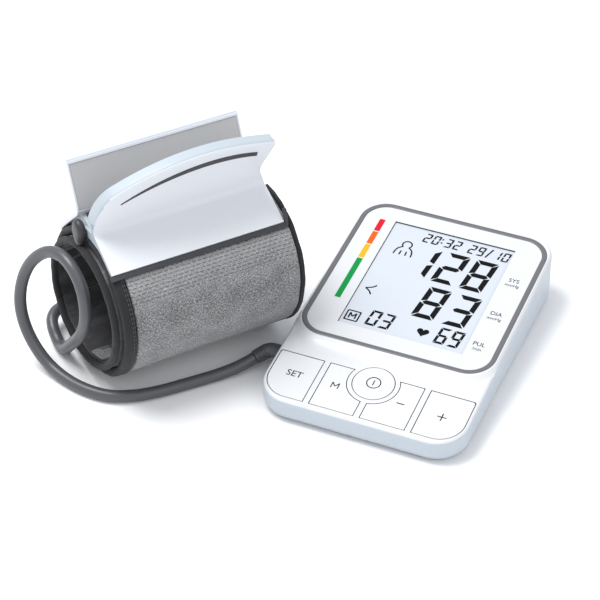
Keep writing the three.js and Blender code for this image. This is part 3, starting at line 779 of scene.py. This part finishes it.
marks += ring_pieces(PERSON_X, 48.0, 3.0, 2.2, -52, 232)
for side in (-1, 1):
    shoulder = [(PERSON_X + side * x, y) for x, y in ((1.7, 45.9), (4.2, 44.6), (4.8, 43.0), (4.9, 39.2))]
    marks += stroke(bezier(shoulder, 8), 0.8)
    marks += stroke([(PERSON_X + side * 1.5, 42.6), (PERSON_X + side * 1.7, 39.4)], 0.8)
marks += stroke(bezier([(-24.4, 12.4), (-26.0, 9.6), (-28.6, 9.6), (-29.4, 8.9)], 6), 0.8)
marks += stroke(bezier([(-29.4, 8.9), (-28.6, 8.2), (-26.6, 8.0), (-25.2, 4.9)], 6), 0.8)
marks += stroke([(-31.4, -16.8), (-24.4, -16.8), (-24.4, -9.8), (-31.4, -9.8), (-31.4, -17.2)], 0.8)
marks += letter_m(-27.9, -13.3, 1.7, 2.0, 0.85)
flat_marks("display_marks", marks, lcd_plane, LCD_LIFT, SEGMENT, "base")

SURROUND_LIFT = -0.1
LEGENDS = (
    ("SYS", 42.3, 40.3, 3.9), ("mmHg", 42.3, 36.6, 2.9), ("DIA", 41.8, 13.3, 3.9),
    ("mmHg", 41.8, 9.6, 2.9), ("PUL", 41.0, -10.8, 3.9), ("/min", 41.0, -14.5, 2.9),
)
for text, x, y, size in LEGENDS:
    lettering(f"legend_{text.strip('/')}_{round(y) + 20}", text, size, x, y, lcd_plane, SURROUND_LIFT,
              PRINT_GREY, "base")
for name, material, y0, y1 in (("red", BAR_RED, 51.9, 61.8), ("orange", BAR_ORANGE, 40.9, 51.2),
                               ("yellow", BAR_YELLOW, 29.1, 40.2), ("green", BAR_GREEN, -3.9, 28.4)):
    flat_marks(f"risk_bar_{name}", [bar(-42.1, -38.9, y0, y1)], lcd_plane, SURROUND_LIFT, material, "base")


# ---- Cuff: sewn parts ----
def arc_table():
    """Running length in metres round the oval's outer face, by whole degrees from 0 to 480."""
    lengths = [0.0]
    for turn in range(480):
        a, b = oval(turn), oval(turn + 1)
        lengths.append(lengths[-1] + math.hypot(b[0] - a[0], b[1] - a[1]) * MM)
    return lengths


ARC = arc_table()


def arc(turn):
    whole = int(math.floor(turn))
    return ARC[whole] + (ARC[whole + 1] - ARC[whole]) * (turn - whole)


TRIM_TURNS = (163.6, 167.4)
CLIP_EDGE = arc(TRIM_TURNS[1])


def sweep(name, section, turns, material, shape=None, sharp=50):
    """Carries a closed section of (s, depth) round the oval. shape(s, turn, depth) moves its points."""
    verts = []
    uvs = []
    for turn in turns:
        for s, depth in section:
            ds, dd = shape(s, turn, depth) if shape else (0, 0)
            e, z = oval(turn, depth + dd)
            verts.append(cuff(s + ds, e, z))
            uvs.append(((s + depth * 0.5) * MM, arc(turn % 480) - CLIP_EDGE))
    count = len(section)
    faces = []
    for k in range(len(turns) - 1):
        for i in range(count):
            j = (i + 1) % count
            faces.append((k * count + i, k * count + j, (k + 1) * count + j, (k + 1) * count + i))
    faces.append(tuple(range(count))[::-1])
    faces.append(tuple((len(turns) - 1) * count + i for i in range(count)))
    return build(name, verts, faces, material, uvs, sharp=sharp)


def steps(start, end, size):
    count = max(2, int(abs(end - start) / size))
    return [start + (end - start) * i / count for i in range(count + 1)]


def wall_section(s0, s1, outer, inner, size, r):
    """Closed section of a wall with rounded edges, fine along its outer and inner faces."""
    section = [(s, outer) for s in steps(s0 + r, s1 - r, size)]
    half = (inner - outer) / 2
    for i in range(1, 8):
        t = math.pi * i / 8
        section.append((s1 - r + r * math.sin(t), outer + half - half * math.cos(t)))
    section += [(s, inner) for s in steps(s1 - r, s0 + r, size)]
    for i in range(1, 8):
        t = math.pi * i / 8
        section.append((s0 + r - r * math.sin(t), inner - half + half * math.cos(t)))
    return section


FRONT = (TOP_SLIT + 7, 360 + LOW_SLIT - 0.3)
REAR = (LOW_SLIT + 0.3, TOP_SLIT - 8)
LINER_FRONT = (TOP_SLIT + 0.4, 360 + LOW_SLIT - 0.3)
LINER_REAR = (LOW_SLIT + 0.3, TOP_SLIT - 0.4)


def cloth_drift(s, turn, depth):
    """Slow unevenness of a sewn skin, stronger beside its bound edges."""
    slow = noise.noise(Vector((s * 0.045, turn * 0.035, 1.7)))
    edge = math.exp(-(s - 6) / 5) + math.exp((s - 98) / 5)
    pucker = noise.noise(Vector((s * 0.2, turn * 0.14, 5.1)))
    return 0, (0.3 * slow + 0.35 * edge * pucker) * (1 if depth < 1.5 else 0.3)


def fold(turn, s, at, width, sway, seed):
    centre = at + sway * noise.noise(Vector((s * 0.03, seed, 0.3)))
    return math.exp(-((turn - centre) / width) ** 2)


def liner_shape(s, turn, depth):
    """Soft folds of the inner skin over its air chamber."""
    if depth < 6:
        return 0.25 * noise.noise(Vector((turn * 0.1, 2.0, 0))), 0
    t = turn % 360
    rise = 1.9 * fold(t, s, 47, 3.2, 6, 1.0) + 1.2 * fold(t, s, 22, 2.4, 8, 2.0)
    rise += 1.3 * fold(t, s, 330, 3.0, 9, 3.0) + 1.1 * fold(t, s, 302, 2.4, 8, 4.0)
    rise += 1.2 * fold(t, s, 95, 3.0, 6, 5.0) + 1.0 * fold(t, s, 200, 3.0, 8, 6.0)
    rise -= 1.3 * fold(t, s, 53, 4.0, 6, 1.0) + 0.8 * fold(t, s, 336, 4.0, 9, 3.0)
    puff = 0.7 * noise.noise(Vector((s * 0.05, t * 0.05, 8.0)))
    puff += 0.5 * noise.noise(Vector((s * 0.12, t * 0.11, 4.0)))
    calm = min(1.0, max(0.0, (s + 1.5) / 6)) * min(1.0, max(0.0, (97 - s) / 6))
    return 0.25 * noise.noise(Vector((turn * 0.1, 2.0, 0))), (rise + puff) * calm


def tape_shape(s, turn, depth):
    return (0.28 * noise.noise(Vector((turn * 0.12, s * 0.3, 3.3))),
            0.22 * noise.noise(Vector((turn * 0.16, s * 0.3, 6.3))))


def cuff_half(side, body, span, liner_span):
    """One half of the cuff: cloth, bound edges, inner skin with its rim, and two rows of stitches."""
    turns = steps(*span, 1.6)
    inner = steps(*liner_span, 1.6)
    parts = (
        ("sleeve_cloth", (6.4, 97.6, 0, 2, 2.4, 0.6), turns, HEATHER, cloth_drift, "heather", "sleeve"),
        ("left_tape", (-0.6, 6.1, -0.55, 4.0, 0.8, 1.9), turns, TAPE, tape_shape, "binding", "left_binding"),
        ("right_tape", (97.8, CUFF_RIGHT, -0.5, 4.0, 0.6, 1.0), turns, TAPE, tape_shape, "binding",
         "right_binding"),
        ("liner_skin", (LINER_LEFT + 1.4, 99.8, 4.6, 7.8, 2.4, 0.8), inner, NYLON, liner_shape,
         "liner_black", "liner"),
        ("liner_rim_tape", (LINER_LEFT - 0.3, -0.9, 4.15, 8.3, 0.7, 1.6), inner, TAPE, tape_shape,
         "binding", None),
    )
    for name, section, along, material, shape, slot_name, node in parts:
        piece = sweep(f"{side}_{name}", wall_section(*section), along, material, shape)
        put(piece, body, slot_name, *([f"{side}_{node}"] if node else []))
    for row, (s, depth) in enumerate(((4.9, -0.62), (3.9, -0.66))):
        stitches = []
        for turn in steps(span[0] + 2, span[1] - 2, 3.4):
            a, b = oval(turn, depth), oval(turn + 2.0, depth)
            stitches.append((cuff(s, *a), cuff(s, *b)))
        put(stitch_row(f"{side}_tape_stitches_{row + 1}", stitches), body, "binding")


THREAD = plastic("thread_grey", (0.10, 0.10, 0.105), 0.8, 0.0)


def stitch_row(name, ends, r=0.16):
    """Short rounded stitches between pairs of points."""
    verts = []
    faces = []
    for a, b in ends:
        axis = (b - a).normalized()
        side = axis.orthogonal().normalized()
        other = axis.cross(side)
        for at, size in ((0.0, 0.35), (0.2, 1.0), (0.8, 1.0), (1.0, 0.35)):
            centre = a.lerp(b, at)
            for k in range(6):
                t = math.pi * k / 3
                verts.append(centre + (side * math.cos(t) + other * math.sin(t)) * r * size * MM)
        start = len(verts) - 24
        for ring in range(3):
            for k in range(6):
                n = (k + 1) % 6
                faces.append((start + ring * 6 + k, start + ring * 6 + n,
                              start + ring * 6 + 6 + n, start + ring * 6 + 6 + k))
        faces.append(tuple(start + k for k in range(6))[::-1])
        faces.append(tuple(start + 18 + k for k in range(6)))
    return build(name, verts, faces, THREAD, sharp=80)


cuff_half("front", "base", FRONT, LINER_FRONT)
cuff_half("rear", "rear_clip", REAR, LINER_REAR)

flap = sweep("inner_heather_patch", wall_section(-0.6, 9, 8.3, 9.0, 1.2, 0.3), steps(278, 302, 1.5), HEATHER)
put(flap, "base", "heather")


# ---- Cuff: clip ----
def prism_s(name, points, s0, s1, material):
    rings = [[cuff(s, e, z) for e, z in points] for s in (s0, s1)]
    verts, faces = rings_to_mesh(rings)
    return build(name, verts, faces, material, flat=True)


GRIP_LEAN = 12.2 / 31.8


def grip_top(s):
    """Height of the front lever's arched edge above the table."""
    if s < 10:
        curve = bezier([(0, 99.5), (0.9, 110), (4.2, 116.6), (10, 119.7)], 40)
    else:
        curve = bezier([(10, 119.7), (38, 134.2), (66, 134.6), (95, 124.3)], 60)
    for (s0, z0), (s1, z1) in zip(curve, curve[1:]):
        if s <= s1 + 1e-6:
            return z0 + (z1 - z0) * max(0.0, (s - s0) / max(1e-6, s1 - s0))
    return curve[-1][1]


def front_lever():
    """Curved plate: apron over the cloth, soft crease, leaning grip with a lip rolled to the back."""
    columns = steps(0, 3, 0.5)[:-1] + steps(3, 12, 1.0)[:-1] + steps(12, 92, 2.5)[:-1]
    columns += steps(92, CLIP_RIGHT, 0.6)
    verts = []
    uvs = []
    for s in columns:
        top = grip_top(s)
        profile = [(-32.6 + (18.1 * i / 6), 82.3 + 10.0 * i / 6) for i in range(6)]
        profile += bezier([(-14.5, 92.3), (-12.3, 93.5), (-11.9, 94.6), (-12.7, 98.0)], 7)
        face_top = top - 2.6
        for i in range(1, 9):
            z = 98.0 + (face_top - 98.0) * i / 8
            profile.append((-12.7 - (z - 98.0) * GRIP_LEAN, z))
        e0, z0 = profile[-1]
        profile += bezier([(e0, z0), (e0 - 0.9, z0 + 2.2), (e0 + 0.6, z0 + 2.9), (e0 + 2.4, z0 + 2.9)], 6)[1:]
        profile += [(e0 + 2.4 + 1.3 * k, z0 + 2.9 + 0.12 * k) for k in (1, 2, 3)]
        for e, z in profile:
            pinch = math.exp(-((z - 106) / 8.5) ** 2) * min(1.0, max(0.0, (s - 82) / 13)) ** 1.5
            flare = min(1.0, max(0.0, (z - 117) / 6)) * min(1.0, max(0.0, (s - 85) / 10))
            verts.append(cuff(s - 4.2 * pinch + 1.2 * flare, e, z))
            uvs.append((s * MM, z * MM))
    rows = len(verts) // len(columns)
    faces = [(i * rows + j, (i + 1) * rows + j, (i + 1) * rows + j + 1, i * rows + j + 1)
             for i in range(len(columns) - 1) for j in range(rows - 1)]
    plate = build("front_lever_plate", verts, faces, LEVER_WHITE, uvs)
    toward_viewer = cuff(0, -1, 1) - cuff(0, 0, 0)
    if plate.data.polygons[10].normal.dot(toward_viewer) < 0:
        plate.data.flip_normals()
    applied(plate, "SOLIDIFY", thickness=2.3 * MM, offset=-1, use_even_offset=True)
    softened(plate, 0.75, sharp=50, segments=4)
    plate.data.materials.append(LEVER_EDGE_SHADE)
    # The lip's upward faces and the left edge get the darker blue-grey: painted shade.
    left = (cuff(-1, 0, 0) - cuff(0, 0, 0)).normalized()
    for face in plate.data.polygons:
        if face.normal.z > 0.62 and face.center.z > 0.112 or face.normal.dot(left) > 0.6:
            face.material_index = 1
    return plate


def webs(side, body, section, places):
    """Thin plates from a lever down to the hinge pin."""
    for index, s in enumerate(places):
        # The webs are painted in the lever's darker blue-grey: painted shade.
        web = softened(prism_s(f"{side}_lever_web_{index + 1}", section, s, s + 2.1, LEVER_EDGE_SHADE), 0.35)
        put(web, body, "lever_white")


FRONT_WEB = [
    (-31, 82), (-9.6, 93.2), (0.6, 90.6), (3.6, 87), (0.6, 83.9), (-3, 86.9), (-8.7, 87.4), (-16, 87.2),
    (-24, 84.8),
]
put(front_lever(), "base", "lever_white", "front_lever")
webs("front", "base", FRONT_WEB, (0.1, 31, 62, 92.6))


def grip_inlay():
    """Dark crescent let into the front lever below its arched edge."""
    upper = bezier([(13.2, 111.5), (36, 125.0), (63, 128.6), (86.4, 120.6)], 36)
    lower = bezier([(13.2, 110.7), (36, 121.6), (63, 125.2), (86.4, 117.9)], 36)
    verts = []
    for s, z in upper + lower[::-1]:
        verts.append(cuff(s, -12.7 - (z - 98.0) * GRIP_LEAN - 0.32, z))
    count = len(upper)
    faces = [(i, i + 1, 2 * count - 2 - i, 2 * count - 1 - i) for i in range(count - 1)]
    made = build("grip_inlay_strip", verts, faces, TRIM_DARK)
    toward_viewer = cuff(0, -1, 0) - cuff(0, 0, 0)
    if made.data.polygons[0].normal.dot(toward_viewer) < 0:
        made.data.flip_normals()
    applied(made, "SOLIDIFY", thickness=0.9 * MM, offset=-1)
    return softened(made, 0.15, sharp=60)


put(grip_inlay(), "base", "trim_dark", "grip_inlay")

REAR_PLATE = [
    (35.5, 69.5), (31, 74.3), (24, 81.2), (13.5, 90.9), (11, 93.6), (10.2, 96.4), (11.0, 99.2),
    (20.1, 118.2), (19.9, 118.9), (18.0, 119.7), (17.2, 119.4), (7.6, 97.6), (7.0, 95.4), (7.4, 93.6),
    (9.4, 91.2), (20.5, 80.7), (28.5, 72.8), (33.5, 67.5),
]
REAR_WEB = [
    (34, 70.5), (9.4, 92.8), (1.4, 90.6), (-2.4, 88.6), (-2.4, 85.2), (0.6, 83.9), (6, 86.2),
    (12, 84.6), (20, 80.6), (27, 75.2), (31, 71.4),
]


def panel_outline(grow, deep0, deep1):
    low_end, high_end = 1.6 - grow, 25.5 + grow
    points = []
    for along, deep in ((low_end, deep0), (low_end, deep1), (high_end, deep1), (high_end, deep0)):
        points.append((6.4 + 0.4 * along + 0.9165 * deep, 94.4 + 0.9165 * along - 0.4 * deep))
    return points


def rear_lever():
    plate = prism_s("rear_lever_plate", REAR_PLATE, 0, CLIP_RIGHT, LEVER_WHITE)
    cut(plate, prism_s("pocket", panel_outline(0.1, -2, 1.05), 1.1, 93.9, LEVER_WHITE))
    softened(plate, 0.5)
    plate.data.materials.append(LEVER_EDGE_SHADE)
    # The upward faces along the top get the lever's darker blue-grey: painted shade.
    for face in plate.data.polygons:
        if face.normal.z > 0.85 and face.center.z > 0.115:
            face.material_index = 1
    return plate


put(rear_lever(), "rear_clip", "lever_white", "rear_lever")
webs("rear", "rear_clip", REAR_WEB, (2.6, 33.5, 59.5, 90.2))
panel = softened(prism_s("rear_lever_panel_sheet", panel_outline(0, 0.2, 0.95), 1.2, 93.8, PANEL_GREY), 0.2)
put(panel, "rear_clip", "panel_grey", "rear_lever_panel")


def hinge_cap(name, s0, s1):
    rings = []
    for k in range(9):
        t = math.pi * k / 8
        s = (s0 + s1) / 2 - (s1 - s0) / 2 * math.cos(t)
        size = 0.55 + 0.45 * math.sin(t) ** 0.6
        ring = []
        for i in range(40):
            a = 2 * math.pi * i / 40
            width = 5.2 + 0.7 * math.sin(a)
            e = HINGE_E - 0.4 + width * size * math.cos(a)
            ring.append(cuff(s, e, HINGE_Z + 1.2 + 7.6 * size * math.sin(a)))
        rings.append(ring)
    verts, faces = rings_to_mesh(rings)
    return build(name, verts, faces, TRIM_DARK, sharp=70)


put(hinge_cap("left_hinge_knob", -4.9, -0.3), "base", "trim_dark", "left_hinge_cap")
put(hinge_cap("right_hinge_knob", 95.4, 97.6), "base", "trim_dark", "right_hinge_cap")

trim_section = wall_section(-0.8, 96.8, -1.9, -0.15, 4, 0.5)
trim = sweep("front_trim_bead", trim_section, steps(*TRIM_TURNS, 0.6), TRIM_DARK)
put(trim, "base", "trim_dark", "front_trim_strip")
TAB = [(-33.6, 79.6), (-31.6, 80.6), (-29.2, 88.2), (-31.0, 88.6)]
tab = softened(prism_s("front_trim_tab", TAB, 95.5, 97.4, TRIM_DARK), 0.4)
put(tab, "base", "trim_dark")


# ---- Air hose ----
def tube(name, points, radii, material, sides=28):
    """Turned or bent body along points, with its own radius in millimetres at each of them."""
    rings = []
    normal = None
    for i, point in enumerate(points):
        ahead = points[min(i + 1, len(points) - 1)] - points[max(i - 1, 0)]
        ahead.normalize()
        if normal is None:
            normal = ahead.orthogonal().normalized()
        normal = (normal - ahead * normal.dot(ahead)).normalized()
        side = ahead.cross(normal)
        turns = [2 * math.pi * k / sides for k in range(sides)]
        rings.append([point + (normal * math.cos(t) + side * math.sin(t)) * radii[i] * MM for t in turns])
    verts, faces = rings_to_mesh(rings)
    return build(name, verts, faces, material, sharp=45)


PORT = (42.6, 10.5)


def hose_port():
    """Moulded boot with five grip rings where the hose leaves the cuff."""
    stations = [(34.4, 2.2), (34.2, 3.2), (33.4, 3.75), (32, 3.9), (19.5, 3.9), (18.6, 3.8), (18.2, 3.4)]
    for k in range(5):
        s = 17.4 - 1.7 * k
        crest = 3.75 - 0.04 * k
        stations += [(s, 3.4), (s - 0.2, crest), (s - 0.9, crest), (s - 1.1, 3.4)]
    stations += [(9.1, 3.35), (9.0, 3.22)]
    return tube("hose_port_boot", [cuff(s, *PORT) for s, _ in stations], [r for _, r in stations], HOSE_GREY)


ROUTE = [
    (8.7, *PORT), (4.5, 42.6, 10.5), (0, 42.3, 10.4), (-4.5, 40.5, 10.1), (-8, 36.6, 9.2), (-9.7, 31.6, 7.2),
    (-10.2, 26, 4.6), (-10.5, 20, 3.8), (-10.4, 14, 6.6), (-10.2, 8.4, 12.2), (-10, 2, 19.2),
    (-10, -5, 26.8), (-10, -12, 36), (-10, -16.8, 45.4), (-10, -19, 56), (-10.2, -17, 67), (-11, -9.5, 74.6),
    (-12.6, 0.8, 76.8), (-15.6, 11.5, 73.4), (-20.2, 19.6, 65.6), (-24.1, 24.8, 55), (-27.2, 26.6, 42.5),
    (-28.4, 25.4, 31), (-27.8, 21.2, 20.5), (-25.8, 14.5, 12), (-22.7, 5.5, 6), (-18.2, -7, 3.6),
    (-12.4, -18.5, 3.3), (-4.4, -28, 3.3), (7.5, -34.3, 3.3), (19, -37, 3.3), (30.2, -38.2, 3.3),
    (41, -39, 3.3), (51, -39.9, 3.6), (59, -40.6, 4.4), (66, -41, 5.7), (72.5, -41.1, 7.5),
]
PLUG_CORNER = (81.72, -41.14, SOCKET[1])
HOSE_DIAMETER = 6.4 * MM


def smooth_route(points, parts=8):
    """Centripetal Catmull-Rom curve through the route's points."""
    ends = [points[0] * 2 - points[1]] + points + [points[-1] * 2 - points[-2]]
    line = []
    for i in range(1, len(ends) - 2):
        p0, p1, p2, p3 = ends[i - 1:i + 3]
        t0, t1 = 0.0, math.sqrt((p1 - p0).length)
        t2 = t1 + math.sqrt((p2 - p1).length)
        t3 = t2 + math.sqrt((p3 - p2).length)
        for k in range(parts):
            t = t1 + (t2 - t1) * k / parts
            a1 = p0 * ((t1 - t) / (t1 - t0)) + p1 * ((t - t0) / (t1 - t0))
            a2 = p1 * ((t2 - t) / (t2 - t1)) + p2 * ((t - t1) / (t2 - t1))
            a3 = p2 * ((t3 - t) / (t3 - t2)) + p3 * ((t - t2) / (t3 - t2))
            b1 = a1 * ((t2 - t) / (t2 - t0)) + a2 * ((t - t0) / (t2 - t0))
            b2 = a2 * ((t3 - t) / (t3 - t1)) + a3 * ((t - t1) / (t3 - t1))
            line.append(b1 * ((t2 - t) / (t2 - t1)) + b2 * ((t - t1) / (t2 - t1)))
    return line + [points[-1]]


def air_hose():
    line = smooth_route([cuff(*p) for p in ROUTE])
    curve = bpy.data.curves.new("air_hose", "CURVE")
    curve.dimensions = "3D"
    spline = curve.splines.new("POLY")
    spline.points.add(len(line) - 1)
    for target, point in zip(spline.points, line):
        target.co = (*point, 1)
    curve.bevel_depth = HOSE_DIAMETER / 2
    curve.bevel_resolution = 8
    curve.use_fill_caps = True
    curve.materials.append(HOSE_GREY)
    made = bpy.data.objects.new("air_hose", curve)
    bpy.context.collection.objects.link(made)
    return made, sum((b - a).length for a, b in zip(line, line[1:]))


def air_plug():
    corner = cuff(*PLUG_CORNER)
    mouth = cuff(72.8, -41.12, 7.6)
    wall = unit(-55.3, *SOCKET)
    stem = unit(-49.6, *SOCKET)
    into = (wall - corner).normalized()
    back = (mouth - corner).normalized()
    points = [mouth]
    radii = [3.3]
    for k in range(4):
        for at, r in ((0.02, 3.3), (0.05, 3.75), (0.16, 3.8), (0.19, 3.35)):
            points.append(mouth.lerp(corner, at * 0.78 + k * 0.155))
            radii.append(r + 0.08 * k)
    for i in range(9):
        t = i / 8
        bend = corner + back * 0.0030
        points.append(bend * (1 - t) ** 2 + corner * 2 * t * (1 - t) + (corner + into * 0.0034) * t ** 2)
        radii.append(4.0)
    points += [corner + into * 0.0042, wall - into * 0.0002, wall, wall + into * 0.00005, stem]
    radii += [4.0, 4.0, 3.6, 2.2, 2.2]
    return tube("air_plug_elbow", points, radii, HOSE_GREY)


hose, hose_length = air_hose()
plug = air_plug()
port = hose_port()
put(hose, "base", "hose_grey", "cuff_hose")
put(plug, "base", "hose_grey", "air_plug")
put(port, "base", "hose_grey", "hose_port")

# ---- Carried-over CAD nodes ----
CAD_MATERIALS = {
    "front_jaw": PART_BLACK, "rear_jaw": PART_BLACK, "hinge_pin": STEEL, "torsion_spring": STEEL,
    "main_board": BOARD, "air_socket": TRIM_DARK, "pump_motor": MOTOR, "pump_head": PART_BLACK,
    "inner_air_tube": TUBE_CLEAR, "exhaust_valve": PART_BLACK, "pressure_sensor": PART_BLACK,
    "battery_contact_front": CONTACT, "battery_contact_back": CONTACT,
}
for key in ("set", "memory", "start_stop", "minus", "plus"):
    CAD_MATERIALS[f"{key}_switch"] = SWITCH_GREY
for number in range(1, 5):
    CAD_MATERIALS[f"battery_cell_{number}"] = CELL_WRAP
    CAD_MATERIALS[f"housing_screw_{number}"] = STEEL
    CAD_MATERIALS[f"foot_{number}"] = RUBBER
for node_name, material in CAD_MATERIALS.items():
    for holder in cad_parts[node_name].material_slots:
        holder.material = material

# ---- Stage and light ----
floor_material = Shader("floor", (0.93, 0.93, 0.935), 0.9).material
floor_corners = [unit(x, y, 0) for x, y in ((-3000, -3000), (3000, -3000), (3000, 3000), (-3000, 3000))]
floor = build("floor", floor_corners, [(0, 1, 2, 3)], floor_material, flat=True)


def softbox(name, place, aim, size, power, color=(1, 1, 1)):
    light = bpy.data.lights.new(name, "AREA")
    light.shape = "DISK"
    light.size = size
    light.energy = power
    light.color = color
    holder = bpy.data.objects.new(name, light)
    holder.location = place
    holder.rotation_euler = (aim - place).to_track_quat("-Z", "Y").to_euler()
    bpy.context.collection.objects.link(holder)


MIDDLE = unit(-60, 0, 30)
softbox("key_light", unit(-600, -100, 1300), MIDDLE, 0.8, 17)
softbox("fill_light", unit(700, -700, 900), MIDDLE, 1.2, 3.0)
world = bpy.data.worlds.new("studio")
world.use_nodes = True
world.node_tree.nodes["Background"].inputs[0].default_value = (0.93, 0.96, 1.0, 1)
world.node_tree.nodes["Background"].inputs[1].default_value = 0.78
bpy.context.scene.world = world
bpy.context.scene.view_settings.view_transform = "Standard"
bpy.context.scene.view_settings.look = "None"
